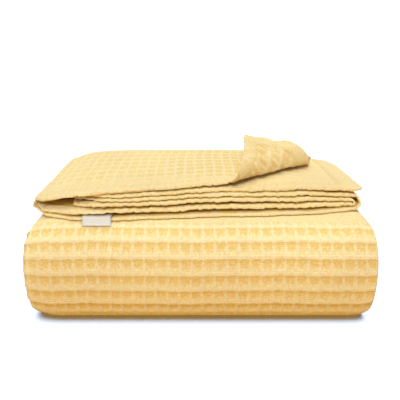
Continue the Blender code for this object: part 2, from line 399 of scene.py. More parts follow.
@dataclass
class LayerSection:
    """The six layers across the strip, by distance along the cloth."""

    pitch: float = 3.8 * MM
    cell: float = 12.7 * MM
    hem_lines: tuple[float, ...] = tuple(
        MM * line for line in (0.0, 0.3, 0.9, 1.8, 3.4, 9.0, 15.0, 20.8, 22.0, 23.2))
    flap_share: float = 0.30       # the part of the top layer that crumples at its corner
    samples: int = 40
    across: Array = field(init=False)
    bundle: Array = field(init=False)
    loose: Array = field(init=False)
    layer_spans: list[tuple[float, float]] = field(init=False)

    def __post_init__(self) -> None:
        """Lay out the hems, layers and folds in the order of the cloth."""
        bundle, loose, marks = [], [], []
        self.add_hem(bundle, loose, OUTER_HEM, LAYERS[0], True)
        for number, layer in enumerate(LAYERS):
            first = len(bundle) - 1
            self.add_layer(bundle, loose, layer, number == 0)
            marks.append((first, len(bundle) - 1))
            if number < len(FOLDS):
                self.add_fold(bundle, loose, FOLDS[number], layer, LAYERS[number + 1])
        self.add_hem(bundle, loose, INNER_HEM, LAYERS[-1], False)
        self.bundle, self.loose = np.array(bundle), np.array(loose)
        flat = self.bundle * (1.0, self.pitch)
        steps = np.linalg.norm(np.diff(flat, axis=0), axis=1)
        self.across = np.concatenate(([0.0], np.cumsum(steps)))
        self.layer_spans = [(self.across[a], self.across[b]) for a, b in marks]

    def add_hem(
            self, bundle: list, loose: list, hem: SideHem, layer: Layer, first: bool) -> None:
        """Add a side hem, from its edge inwards if first, or else outwards.

        Args:
            bundle: The points inside the bundle, which are added to.
            loose: The points in the loose pass, which are added to.
            hem: The hem.
            layer: The layer that it belongs to.
            first: Whether it is the hem that the cloth starts with.
        """
        inner = layer.start if first else layer.end
        loose_inner = layer.loose_start if first else layer.loose_end
        drop = layer.level - hem.level
        shares = np.linspace(1, 0, self.samples) if first else np.linspace(0, 1, self.samples)
        for share in shares:
            angle = math.pi / 2 * share
            x = inner + hem.reach * math.sin(angle)
            bundle.append((x, hem.level + drop * math.cos(angle)))
            loose.append((loose_inner + hem.loose_reach * share, layer.level))

    def add_layer(self, bundle: list, loose: list, layer: Layer, crumpled: bool) -> None:
        """Add the straight part of a layer.

        Args:
            bundle: The points inside the bundle, which are added to.
            loose: The points in the loose pass, which are added to.
            layer: The layer.
            crumpled: Whether its slack is drawn together near its start.
        """
        width = layer.start - layer.end
        loose_width = layer.loose_start - layer.loose_end
        flap = self.flap_share
        kept = (1 - flap) * width / loose_width
        for share in (flap, 1.0) if crumpled else (1.0,):
            loose_share = share if share == 1.0 else 1 - kept
            bundle.append((layer.start - width * share, layer.level))
            loose.append((layer.loose_start - loose_width * loose_share, layer.level))

    def add_fold(
            self, bundle: list, loose: list, fold: Fold, layer: Layer, following: Layer) -> None:
        """Add the fold from one layer to the following one.

        Args:
            bundle: The points inside the bundle, which are added to.
            loose: The points in the loose pass, which are added to.
            fold: The fold.
            layer: The layer that it leaves.
            following: The layer that it goes over into.
        """
        side = math.copysign(1, layer.end)
        middle = (layer.level + following.level) / 2
        half = (layer.level - following.level) / 2
        for share in np.linspace(0, 1, self.samples)[1:]:
            tip = side * fold.reach * math.sin(math.pi * share)
            point = side * fold.reach * (1 - abs(math.cos(math.pi * share)))
            loose_tip = tip + (point - tip) * fold.pointed
            level = middle + half * math.cos(math.pi * share)
            x = layer.end * (1 - share) + following.start * share + tip
            loose_x = layer.loose_end * (1 - share) + following.loose_start * share + loose_tip
            bundle.append((x, level))
            loose.append((loose_x, level))

    def at(self, distance: Array, looseness: Array) -> tuple[Array, Array]:
        """Return the place across and the level at distances along the cloth.

        Args:
            distance: Distances along the cloth, from the outer side hem.
            looseness: 0 inside the bundle and 1 in the loose pass.

        Returns:
            Two arrays, x and level.
        """
        rolled, free = (
            [np.interp(distance, self.across, table[:, k]) for k in (0, 1)]
            for table in (self.bundle, self.loose))
        x, level = (r + (f - r) * looseness for r, f in zip(rolled, free))
        return x, level

    def columns(self, ridge: float) -> list[float]:
        """Return where the slab is divided across.

        Args:
            ridge: Where one ridge of the weave lies; the others are whole cells away.

        Returns:
            The distances across, from 0 to the whole width.
        """
        width = self.across[-1]
        apart = 2.5 * MM
        places = set(self.hem_lines) | {width - line for line in self.hem_lines}
        edge = self.hem_lines[-1]
        for number, (layer, (start, end)) in enumerate(zip(LAYERS, self.layer_spans)):
            places |= {start, end} if number else {end}
            first = math.ceil((max(start, edge) + apart - ridge) / self.cell)
            last = math.floor((min(end, width - edge) - apart - ridge) / self.cell)
            places |= {ridge + k * self.cell for k in range(first, last + 1, layer.cells)}
            if number < len(FOLDS):
                steps = FOLDS[number].steps
                following = self.layer_spans[number + 1][0]
                places |= {end + (following - end) * k / steps for k in range(1, steps)}
        places.discard(self.layer_spans[-1][1])
        return sorted(places)


# --- The sheet -----------------------------------------------------------------
@dataclass(frozen=True)
class Weave:
    """The waffle weave: its cells and how deep they are.

    Attributes:
        across: Width of a cell, across the sheet.
        along: Length of a cell, along the sheet.
        ridge: Height of the ridges over the middle of the cloth's face.
        pit: Depth of the cells under it.
        upright: How high the ridges along the sheet are beside those across it.
        flank: The share of half a cell that the slope from ridge to pit takes.
        fall: The share of a hanging cell over which it falls in under its ridge.
        out_from: Where a hanging cell starts to come out again, from its ridge down.
        out_over: The share of the cell that it takes to come out.
        out_bow: How much it bulges on the way, 1 where it is straight.
        crease: Where the crease under the ridge lies, from the ridge down.
        crease_width: How wide the crease is, as a share of the cell.
        shallowest: Depth of the shallowest cells beside the others.
        depth_spread: How much deeper the deepest cells are.
        deepest: The deepest that a point of a cell may lie, beside the others.
        wander: How the rows wander.
        drift: How the columns wander.
    """

    across: float = 12.7 * MM
    along: float = 18.1 * MM
    ridge: float = 0.95 * MM
    pit: float = 1.35 * MM
    upright: float = 0.82
    flank: float = 0.5
    fall: float = 0.19
    out_from: float = 0.36
    out_over: float = 0.56
    out_bow: float = 1.1
    crease: float = 0.12
    crease_width: float = 0.07
    shallowest: float = 0.86
    depth_spread: float = 0.28
    deepest: float = 1.15
    wander: Wave = Wave(1.3 * MM, (0.19, 0.071, 0.026, 0.0121), 9)
    drift: Wave = Wave(0.91 * MM, (0.13, 0.052), 11)

    def down(self, along: Array) -> Array:
        """Return how far down points lie in their hanging cell, from its ridge."""
        return 1 - along / self.along % 1

    def height(self, across: Array, along: Array, hanging: Array) -> Array:
        """Return the relief in the cells, from -1 in a pit to 1 on a ridge.

        Where the cloth hangs, each cell sags: it is deepest right under a ridge and
        comes out slowly towards the next one below.

        Args:
            across: Distances across the sheet, 0 on a ridge.
            along: Distances along the sheet, 0 on a ridge, growing upwards.
            hanging: 1 where the cloth hangs on the front, 0 where it lies.

        Returns:
            The relief at each point.
        """
        u = np.abs((across / self.across + 0.5) % 1 - 0.5) * 2
        v = np.abs((along / self.along + 0.5) % 1 - 0.5) * 2
        down = self.down(along)
        lying = smooth_step(v / self.flank)
        coming_out = np.clip((down - self.out_from) / self.out_over, 0, 1)
        sagging = smooth_step(down / self.fall) * (1 - coming_out ** self.out_bow)
        deep = lying + (sagging - lying) * hanging
        between = (1 - self.upright) + self.upright * smooth_step(u / self.flank)
        return 1 - 2 * deep * between

    def under_ridge(self, along: Array, hanging: Array) -> Array:
        """Return how near points are to the crease right under a ridge, from 0 to 1, for its
        painted shade.
        """
        return np.exp(-((self.down(along) - self.crease) / self.crease_width) ** 2) * hanging

    def variation(self, across: Array, along: Array) -> Array:
        """Return how deep each cell is beside the others, about 1, uneven as hand washed.

        Args:
            across: Distances across the sheet.
            along: Distances along the sheet.

        Returns:
            A factor at each point.
        """
        column, row = np.floor(across / self.across), np.floor(along / self.along)
        by_column, by_row, stretched = SHAKE
        shake = np.sin(column * by_column + row * by_row) * stretched
        return self.shallowest + self.depth_spread * (shake - np.floor(shake))


@dataclass(frozen=True)
class ReliefZones:
    """Where the waffle stands out, and how far from 0 to 1.

    Attributes:
        off_hems: From the hems' lines of stitches inwards.
        past_fold: From the middle of the first fold, where the face turns inside.
        past_bend: From the top of the front bend, where the loose pass covers it.
        past_top: Along the roll, where the top goes over into the back.
        to_left: Across the top, which is pulled tight towards its left side.
        past_pressed: Along the top, from the pressed stretch behind the front hem.
        pressed_left: How much longer that stretch is on the left.
        top_loss: What the whole top loses.
        left_loss: What it loses towards the left besides.
        pressed_loss: What the pressed stretch loses.
        flap: How far across and along the turned-up corner reaches on the reverse.
        flap_fade: How softly it ends there.
        flap_relief: The relief on the turned-up corner.
        second: Where the second layer's reverse comes out, across from its start.
        past_second: Where it ends along the roll.
        second_relief: The relief on it.
        shown: Where the second layer starts to be seen, across from its start.
        past_edge: How far into a narrow gap the painted shade is still left out, so the cloth is as
            pale as outside it.
    """

    off_hems: Ramp = Ramp(1 * MM, 4 * MM)
    past_fold: Ramp = Ramp(-2 * MM, 8 * MM)
    past_bend: Ramp = Ramp(-9 * MM, 9 * MM)
    past_top: Ramp = Ramp(0.20, 0.04)
    to_left: Ramp = Ramp(0.12, 0.16)
    past_pressed: Ramp = Ramp(0.026, 0.028)
    pressed_left: float = 0.016
    top_loss: float = 0.10
    left_loss: float = 0.42
    pressed_loss: float = 0.85
    flap: tuple[float, float] = (0.20, 0.18)
    flap_fade: float = 0.03
    flap_relief: float = 0.6
    second: Ramp = Ramp(0.14, 0.03)
    past_second: Ramp = Ramp(0.19, 0.03)
    second_relief: float = 0.22
    shown: float = 0.13
    past_edge: Ramp = Ramp(1.5 * MM, 2.4 * MM)


@dataclass(frozen=True)
class TurnedCorner:
    """The top layer's front corner, rolled up over a slanting crease.

    Attributes:
        front: The crease's front end, in the plan's own frame.
        back: Its back end.
        radius: The roll's radius.
        turn: The angle that the cloth turns by.
        easing: How far past the crease the roll's own shape sets in.
        widening: How much wider the roll is towards its back end.
        widens: Where it widens, along the crease.
        sag: How far the roll sags at its front end.
        more_sag: How much more it sags further back.
        sags: Where that sets in, along the crease.
        blunt: How far the roll's end is pushed in along the crease.
        blunt_ends: Where that stops, past the crease.
        blunt_width: The stretch from the side hem that is pushed in.
        pucker: The puckers beside each other along the crease.
        slant: How far they lean, along the crease for each step past it.
        dimple: The dimples round the roll.
        crumpled: From where to where along the crease it is crumpled, and how softly.
        sets_in: How far past the crease the puckers are full.
        settles: Where the puckers settle, past the crease.
        settled: What they lose there.
    """

    front: tuple[float, float] = (0.019, 0.090)
    back: tuple[float, float] = (0.1500, 0.214)
    radius: float = 11 * MM
    turn: float = math.radians(163)
    easing: float = 12 * MM
    widening: float = 3.5 * MM
    widens: Ramp = Ramp(0.085, 0.07)
    sag: float = 1.5 * MM
    more_sag: float = 4.5 * MM
    sags: Ramp = Ramp(0.02, 0.06)
    blunt: float = 5 * MM
    blunt_ends: Ramp = Ramp(24 * MM, 16 * MM)
    blunt_width: float = 40 * MM
    pucker: Wave = Wave(1.4 * MM, (0.0173, 0.0117, 0.029), 40)
    slant: float = 0.25
    dimple: Wave = Wave(0.8 * MM, (0.017, 0.0113), 90)
    crumpled: tuple[float, float, float] = (-0.03, 0.15, 0.06)
    sets_in: float = 10 * MM
    settles: Ramp = Ramp(34 * MM, 45 * MM)
    settled: float = 0.7

    def turn_up(self, place: Array, across: Array, on_top: Array) -> Array:
        """Turn up the corner over its crease.

        Args:
            place: Where the points lie before it is turned.
            across: Distances across the sheet.
            on_top: Whether each point is on the top layer of the loose pass.

        Returns:
            Where the points lie once it is turned.
        """
        front, back = np.array(self.front), np.array(self.back)
        crease = (back - front) / np.linalg.norm(back - front)
        away = np.array((crease[1], -crease[0]))
        past = (place[:, :2] - front) @ away
        beside = (place[:, :2] - front) @ crease
        angle = np.minimum(past / self.radius, self.turn)
        free = np.maximum(past - self.radius * self.turn, 0)
        eased = smooth_step(past / self.easing)
        widening = self.widening * self.widens.up(beside) * eased
        radius = self.radius + (self.crumple(beside, past) + widening)
        forward = radius * np.sin(angle) + free * math.cos(self.turn)
        lift = radius * (1 - np.cos(angle)) + free * math.sin(self.turn)
        lift -= (self.sag + self.more_sag * self.sags.up(beside)) * np.sin(angle) ** 2
        blunt = self.blunt * eased * self.blunt_ends.down(past)
        blunt *= smooth_step(1 - across / self.blunt_width)
        moved = place.copy()
        moved[:, :2] += np.outer(forward - past, away) - np.outer(blunt, crease)
        moved[:, 2] += lift
        return np.where((on_top & (past > 0))[:, None], moved, place)

    def crumple(self, beside: Array, past: Array) -> Array:
        """Return how the roll under the turned-up corner puckers.

        Args:
            beside: Distances along the crease, from its front end.
            past: Distances from the crease.

        Returns:
            How much wider the roll is at each point.
        """
        pucker = self.pucker.at(beside + self.slant * past, past)
        dimple = self.dimple.at(past, beside)
        strength = smooth_step(past / self.sets_in) * window(beside, *self.crumpled)
        return (pucker + dimple) * strength * (1 - self.settled * self.settles.up(past))


@dataclass(frozen=True)
class FrontHems:
    """The line of each layer's front hem, seen from above.

    Attributes:
        wave: How it wanders.
        crinkle: How the stitches crinkle it.
        set_back: How far the middle layers' hems lie further back on the left.
        middle_levels: Where these layers start and where they end.
        past_left: Where that stretch ends across.
        tip_levels: The limits of the second layer's level, and their fade.
        tip_from: Where the tip of its hem starts to round off.
        tip_reach: How far the tip goes on from there.
        tip_radius: The radius of the round.
    """

    wave: Wave = Wave(1.6 * MM, (0.083, 0.031, 0.014))
    crinkle: Wave = Wave(0.6 * MM, (0.0093, 0.0061), 0.1)
    set_back: float = 24 * MM
    middle_levels: tuple[Ramp, Ramp] = (Ramp(1, 2), Ramp(4.1, 0.8))
    past_left: Ramp = Ramp(-0.155, 0.05)
    tip_levels: tuple[float, float, float] = (3.6, 4.4, 0.2)
    tip_from: float = 0.1845
    tip_reach: float = 11.5 * MM
    tip_radius: float = 12 * MM

    def line(self, level: Array, x: Array) -> Array:
        """Return how far behind the front face the layers' front hems lie, unevenly.

        Args:
            level: The layers' levels.
            x: Places across, from the middle.

        Returns:
            The distances behind the front face.
        """
        inner, outer = (np.interp(x, STATIONS, table) for table in (INNER_HEM_Y, OUTER_HEM_Y))
        even = MM * (inner + (outer - inner) * level / OUTERMOST)
        first, last = self.middle_levels
        middle_layers = first.up(level) * last.down(level)
        set_back = self.set_back * middle_layers * self.past_left.down(x)
        second_layer = window(level, *self.tip_levels)
        past = np.clip(x - self.tip_from, 0, self.tip_reach) * second_layer
        tip = self.tip_radius - np.sqrt(self.tip_radius ** 2 - past ** 2)
        return even + self.wave.at(x, level) + self.crinkle.at(x, level) + set_back + tip


@dataclass(frozen=True)
class LooseWaves:
    """How the loose layers rise and fall.

    Attributes:
        rise: The long waves, which lean a little from layer to layer.
        by_level: How far they shift from one layer to the next, in radians.
        by_run: How far they shift over a metre of the roll, in radians.
        quilt: The shallow waves behind the front hems.
        slant: How far these lean, across for each step along.
        past_flat: Where they set in along the roll.
        crinkle: The crinkles of the front hems.
        past_crinkle: Where these end along the roll.
    """

    rise: Wave = Wave(1.0 * MM, (0.118, 0.047, 0.023))
    by_level: float = 0.16
    by_run: float = 6.0
    quilt: Wave = Wave(0.5 * MM, (0.041, 0.027), 95)
    slant: float = 0.4
    past_flat: Ramp = Ramp(0.036, 0.03)
    crinkle: Wave = Wave(0.7 * MM, (0.0102, 0.0067), 0.1)
    past_crinkle: Ramp = Ramp(0.05, 0.03)

    def height(self, x: Array, level: Array, run: Array) -> Array:
        """Return how much higher points lie, each layer much as the one under it.

        Args:
            x: Places across, from the middle.
            level: The layers' levels.
            run: Distances along the roll.

        Returns:
            The height at each point.
        """
        rise = self.rise.at(x, level * self.by_level + run * self.by_run)
        quilt = self.quilt.at(x + self.slant * run, run) * self.past_flat.up(run)
        crinkle = self.crinkle.at(x, level) * self.past_crinkle.down(run)
        return (rise + quilt + crinkle) * np.clip(level, 0, 1)


@dataclass
class FoldedSheet:
    """The blanket's sheet: its flat slab, and where each point of it lies once folded."""

    path: RollPath = field(default_factory=RollPath)
    section: LayerSection = field(default_factory=LayerSection)
    weave: Weave = field(default_factory=Weave)
    zones: ReliefZones = field(default_factory=ReliefZones)
    corner: TurnedCorner = field(default_factory=TurnedCorner)
    front_hems: FrontHems = field(default_factory=FrontHems)
    loose_waves: LooseWaves = field(default_factory=LooseWaves)
    plan_left: float = -207.33 * MM     # the left end of the folded plan, in its own frame
    plan_front: float = -0.09 * MM      # the front face of the folded plan
    slab: float = 10 * MM               # thickness of the slab while it is still flat
    edge_rounding: float = 1.2 * MM
    edge_share: float = 0.02            # of the thickness is left at the very edge
    hem_half: float = 2.15 * MM         # half the thickness of a turned and stitched hem
    hem: float = 22 * MM                # width of the hems, up to their line of stitches
    rolled_hem: float = 0.5 * MM        # what shows of the side hem where it turns under
    hem_turns_under: float = 60 * MM    # the stretch past the loose pass where it does
    seam_width: float = 1.1 * MM
    groove: float = 0.5 * MM            # how deep the stitches draw the cloth in
    seam_shade: float = 0.8             # how much deeper they look than the cloth beside them
    crease_shade: float = 1.1           # painted shade: how much darker the creases under the ridges are coloured
    clearance: float = 0.3 * MM         # from a hem to the middle of the gap beside it
    thinnest: float = 0.45 * MM         # half the cloth at the bottom of the deepest cells
    label_x: tuple[float, float] = (-0.140, -0.102)   # where the label needs room
    first_ridge: float = 16.0 * MM      # below the top of the front bend
    ridge_x: float = -0.7 * MM          # a ridge of the top layer, in the plan's frame
    gathering: float = 1.35             # how much the rows crowd under the ridges, 1 for even
    gathers: tuple[float, float, float] = (9 * MM, -9 * MM, 18 * MM)   # limits for on_front
    hangs: tuple[float, float, float] = (-5 * MM, -4 * MM, 20 * MM)
    tightens: Ramp = Ramp(0.8, 0.6)     # these three by shares of the loose pass's run
    waves_end: Ramp = Ramp(0.3, 0.6)
    hems_end: Ramp = Ramp(0.0, 0.7)
    hem_pucker: Wave = Wave(0.20, (0.0137, 0.0083, 0.0052), 1.7)
    hem_bulge: Wave = Wave(0.05, (0.057, 0.029))
    hem_fullness: float = 0.68          # the share of its room that a hem fills
    hem_thins: Ramp = Ramp(-3 * MM, 5 * MM)    # across its line of stitches
    fold_fill: float = 0.15             # the share of a fold's height inside it, each side
    samples: int = 3000                 # along the roll, where lengths are measured
    outer_along: Array = field(init=False)
    fine_along: Array = field(init=False)

    def __post_init__(self) -> None:
        """Measure the outer layer's own length along the roll."""
        self.fine_along = np.linspace(0, self.path.length, self.samples)
        across = np.full_like(self.fine_along, self.ridge_across)
        place = self.lay(across, self.fine_along)
        steps = np.linalg.norm(np.diff(place[:, 1:], axis=0), axis=1)
        self.outer_along = np.concatenate(([0.0], np.cumsum(steps)))

    @property
    def offset(self) -> Array:
        """The way from the plan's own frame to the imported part's frame."""
        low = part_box("blanket_cloth")[0]
        return np.array((low.x - self.plan_left, low.y - self.plan_front, 0.0))

    @property
    def ridge_across(self) -> float:
        """Where the ridge at ridge_x lies across the sheet."""
        start, _ = self.section.layer_spans[0]
        return start + LAYERS[0].start - self.ridge_x

    @property
    def front_top(self) -> float:
        """Distance along the roll where the front bend ends on the bundle's top."""
        return self.path.spans[1][1]

    @property
    def first_fold(self) -> float:
        """The middle of the first fold, across the sheet."""
        spans = self.section.layer_spans
        return (spans[0][1] + spans[1][0]) / 2

    def weave_along(self, along: Array) -> Array:
        """Return the outer layer's own length at distances along the roll, 0 on a ridge.

        Args:
            along: Distances along the roll's inner layer.

        Returns:
            The lengths.
        """
        own = np.interp(along, self.fine_along, self.outer_along)
        top = np.interp(self.front_top, self.fine_along, self.outer_along)
        return own - (top - self.first_ridge)

    def rows(self) -> list[float]:
        """Work out where the slab is divided along its length.

        The rows follow the weave up to where the front bend is covered, with one on
        each ridge and one in each cell, and are few further in.

        Returns:
            The distances along, from 0 to the whole length.
        """
        weave, path = self.weave, self.path
        apart, straight, shown = 2.5 * MM, 12 * MM, 45 * MM
        own = self.weave_along(self.fine_along)
        inner_end = {path.length - line for line in (0.0, 0.9 * MM, 3 * MM)}
        places = set(self.section.hem_lines)
        first = math.ceil((own[0] + max(places) + apart) / weave.along)
        last = math.floor(np.interp(self.front_top + shown, self.fine_along, own) / weave.along)
        for cell in range(first, last + 1):
            for part in (0.0, 0.5):
                place = float(np.interp((cell + part) * weave.along, own, self.fine_along))
                flat = path.spans[0][1] + straight < place < path.spans[1][0] - straight
                if part == 0.0 or not flat:
                    places.add(place)
        reached = max(places)
        for turn, (start, end) in list(zip(path.turns(), path.spans))[2:]:
            places |= set(np.linspace(reached, start, 3)[1:])
            places |= set(np.linspace(start, end, turn.rows + 1))
            reached = end
        places.add((reached + path.length) / 2)
        return sorted(places | inner_end)

    # --- Where each point lies -------------------------------------------------
    @staticmethod
    def table_height(table: tuple, level: Array, x: Array) -> Array:
        """Return the height of levels, softened along the table's stations.

        Args:
            table: The heights in millimetres, a row for each level.
            level: Levels, which may lie between two rows.
            x: Places across, from the middle.

        Returns:
            The heights in metres.
        """
        spread = 7 * MM
        offsets = (-2, -1, 0, 1, 2)
        rows = [
            sum(np.interp(x + spread * k, STATIONS, row) for k in offsets) / len(offsets)
            for row in table]
        heights = np.stack(rows)
        below = np.clip(np.floor(level).astype(int), 0, len(table) - 2)
        index = np.arange(len(x))
        low, high = heights[below, index], heights[below + 1, index]
        return MM * (low + (high - low) * (level - below))

    def lay(self, across: Array, along: Array) -> Array:
        """Return where points of the flat sheet lie once it is folded and rolled.

        Args:
            across: Distances across the sheet, from the outer side hem.
            along: Distances along the sheet, from the loose front hem.

        Returns:
            Rows of x, y and z in the plan's own frame.
        """
        path = self.path
        easing = smooth_step((along - path.loose_run) / path.back_turn)
        x, level = self.section.at(across, self.looseness(along))
        hem, back, bundle = (
            self.table_height(table, level, x)
            for table in (HEM_HEIGHTS, BACK_HEIGHTS, BUNDLE_HEIGHTS))
        share = np.clip(along / path.loose_run, 0, 1)
        height = hem + (back - hem) * share
        height = np.where(along < path.loose_run, height, back + (bundle - back) * easing)
        start = self.front_hems.line(level, x) - path.foremost_hem
        run = np.where(along < path.loose_run, start + along * (1 - start / path.loose_run), along)
        fading = self.waves_end.down(along / path.loose_run)
        height += self.loose_waves.height(x, level, run) * fading
        point, outward = path.at(run)
        place = point + outward * height[:, None]
        return np.stack([x, place[:, 0], place[:, 1]], axis=1)

    def place(self, across: Array, along: Array) -> Array:
        """Return where points of the sheet's middle lie, in the plan's own frame.

        Args:
            across: Distances across the sheet.
            along: Distances along the sheet.

        Returns:
            Rows of x, y and z.
        """
        top_layer = across <= self.section.layer_spans[0][1]
        on_top = top_layer & (along <= self.path.loose_run)
        return self.corner.turn_up(self.lay(across, along), across, on_top)

    def outward(self, across: Array, along: Array) -> Array:
        """Return the unit directions out of the sheet's face.

        Args:
            across: Distances across the sheet.
            along: Distances along the sheet.

        Returns:
            Rows of x, y and z.
        """
        step = 0.4 * MM
        sideways = self.place(across + step, along) - self.place(across - step, along)
        lengthways = self.place(across, along + step) - self.place(across, along - step)
        normal = np.cross(lengthways, sideways)
        return normal / np.maximum(np.linalg.norm(normal, axis=1, keepdims=True), TINY)

    # --- Thickness and relief --------------------------------------------------
    def edge_distance(self, across: Array, along: Array) -> Array:
        """Return how far points are from the nearest hem's edge."""
        width, length = self.section.across[-1], self.path.length
        return np.minimum.reduce([across, width - across, along, length - along])

    def inside_hems(self, across: Array, along: Array) -> Array:
        """Return how far points lie inside the hems' lines of stitches, negative on a hem.

        Args:
            across: Distances across the sheet.
            along: Distances along the sheet.

        Returns:
            The distances.
        """
        width, length = self.section.across[-1], self.path.length
        under = Ramp(self.path.loose_run, self.hem_turns_under).up(along)
        side = self.hem + (self.rolled_hem - self.hem) * under
        return np.minimum.reduce(
            [across - side, width - across - self.hem, along - self.hem, length - along - self.hem])

    def looseness(self, along: Array) -> Array:
        """Return 1 in the loose pass and 0 inside the bundle, at distances along it."""
        return self.tightens.down(along / self.path.loose_run)

    def between(self, table: tuple, level: Array, other: Array, x: Array) -> Array:
        """Return how far apart two levels of a table of heights are."""
        return np.abs(self.table_height(table, other, x) - self.table_height(table, level, x))

    def room(self, across: Array, along: Array, side: Array) -> Array:
        """Return how thick half the cloth may be before it meets the layer beside it.

        Args:
            across: Distances across the sheet.
            along: Distances along the sheet.
            side: 1 on the face and -1 on the reverse.

        Returns:
            Half the thickness that there is room for.
        """
        x, level = self.section.at(across, self.looseness(along))
        at_hem = self.hems_end.down(along / self.path.loose_run)
        cloth, reach = self.path.cloth, 0.9      # reach: in levels, to the layer beside it
        top_level, lowest_level, air_below = 4.2, 0.8, 0.4 * MM
        label_level, label_fade, fold_fade, thinnest = 1.5, 3 * MM, 2 * MM, 0.45 * cloth
        upper, lower = (
            sum(share * self.between(table, level, np.clip(level + step, 0, OUTERMOST), x)
                for share, table in ((at_hem, HEM_HEIGHTS), (1 - at_hem, BUNDLE_HEIGHTS))) / reach
            for step in (reach, -reach))
        upper = np.where(level > top_level, 2 * (self.hem_half + self.clearance), upper)
        lower = np.where(level < lowest_level, cloth + 2 * self.clearance + air_below, lower)
        room = np.where(self.looks_up(across, side), upper, lower) / 2 - self.clearance
        spans = self.section.layer_spans
        for fold, before, after in zip(FOLDS, zip(LAYERS, spans), zip(LAYERS[1:], spans[1:])):
            levels = (np.full_like(x, layer.level) for layer in (before[0], after[0]))
            tall = self.between(HEM_HEIGHTS, *levels, x)
            start, end = before[1][1] - fold_fade / 2, after[1][0] + fold_fade / 2
            inside = window(across, start, end, fold_fade)
            filled = np.where(side == fold.inner, self.fold_fill * tall, 0.5 * cloth)
            room += (filled - room) * inside
        beside_label = window(x, *self.label_x, label_fade) * (np.abs(level) < label_level)
        room -= (room - cloth / 2) * beside_label
        return np.clip(room, thinnest, self.hem_half)

    def half_thickness(self, across: Array, along: Array, side: Array) -> Array:
        """Return how far the sheet's smooth face lies from its middle.

        A hem is several layers of cloth, so it is as thick as there is room for, and
        its stitches pucker it unevenly.

        Args:
            across: Distances across the sheet.
            along: Distances along the sheet.
            side: 1 on the face and -1 on the reverse.

        Returns:
            The distances.
        """
        thin = self.path.cloth / 2
        hem = self.hem_thins.down(self.inside_hems(across, along)) * self.looseness(along)
        place = across + along
        fullness = self.hem_fullness + self.hem_pucker.at(place, side)
        fullness += self.hem_bulge.at(place, side * 0.9 + 1.0)
        room = self.room(across, along, side)
        full = thin + (room - thin) * np.where(room > thin, fullness, 1.0)
        return thin + (full - thin) * hem - self.groove * self.seam(across, along)

    def seam(self, across: Array, along: Array) -> Array:
        """Return 1 on the hems' lines of stitches and 0 away from them."""
        return np.exp(-(self.inside_hems(across, along) / self.seam_width) ** 2)

    def looks_up(self, across: Array, side: Array) -> Array:
        """Return whether the side of the cloth that is asked for looks up.

        Args:
            across: Distances across the sheet.
            side: 1 on the face and -1 on the reverse.

        Returns:
            True at each point where it does: the face of every other layer.
        """
        spans = self.section.layer_spans
        borders = [(ends[1] + starts[0]) / 2 for ends, starts in zip(spans, spans[1:])]
        face_up = np.searchsorted(borders, across) % 2 == 0
        return face_up == (side > 0)

    def relief_strength(self, across: Array, along: Array, side: Array) -> Array:
        """Return how far the waffle stands out, from 0 to 1.

        It is full where the cloth lies free, faint where it was pressed or pulled
        tight, and left out where another layer lies on it.

        Args:
            across: Distances across the sheet.
            along: Distances along the sheet.
            side: 1 on the face and -1 on the reverse.

        Returns:
            The strength at each point.
        """
        zones = self.zones
        off_hems = zones.off_hems.up(self.inside_hems(across, along))
        outside = zones.past_fold.down(across - self.first_fold)
        shown = zones.past_bend.down(along - self.front_top)
        on_top = zones.past_top.down(along)
        pulled = zones.to_left.up(across)
        pressed = zones.past_pressed.down(along - zones.pressed_left * pulled)
        face = off_hems * outside * shown
        face *= 1 - on_top * (zones.top_loss + zones.left_loss * pulled)
        face *= 1 - zones.pressed_loss * on_top * pressed
        wide, long = zones.flap
        flap = window(across, BEFORE, wide, zones.flap_fade)
        flap *= window(along, BEFORE, long, zones.flap_fade)
        second = zones.second.up(across - self.section.layer_spans[5][0])
        second *= zones.second_relief * zones.past_second.down(along)
        reverse = off_hems * (zones.flap_relief * flap + second)
        return np.where(side > 0, face, reverse)

    def covered(self, across: Array, along: Array, side: Array) -> Array:
        """Return how far points are from where they show, 1 well between two layers, where the
        shade between them is painted.

        Args:
            across: Distances across the sheet.
            along: Distances along the sheet.
            side: 1 on the face and -1 on the reverse.

        Returns:
            The share at each point.
        """
        spans, path = self.section.layer_spans, self.path
        width = self.section.across[-1]
        face, reach, round_fold = side > 0, self.zones.flap[0], 3 * MM
        top = face & (across < self.first_fold + round_fold)
        underside = face & (across < spans[1][1]) & (along > path.spans[0][0])
        turned_up = ~face & (across < reach) & (along < reach)
        second = ~face & (across > spans[5][0] + self.zones.shown) & (along < path.spans[0][1])
        x, level = self.section.at(across, self.looseness(along))
        line = self.front_hems.line
        ahead = line(np.minimum(level + 1, OUTERMOST), x) - line(level, x)
        bare = np.maximum(ahead, 0) * self.looks_up(across, side)
        edge = np.minimum.reduce([along - bare, across, width - across])
        shows = top | underside | turned_up | second
        return np.where(shows, 0.0, self.zones.past_edge.up(edge))

    def on_front(self, along: Array, limits: tuple[float, float, float]) -> Array:
        """Return 1 on a part of the bundle's front and 0 away from it.

        Args:
            along: Distances along the sheet.
            limits: How far past the front bend's start and past its end the part's
                limits lie, and how wide their soft edges are.

        Returns:
            The share at each point.
        """
        start, end = self.path.spans[1]
        past_start, past_end, fade = limits
        return window(along, start + past_start, end + past_end, fade)

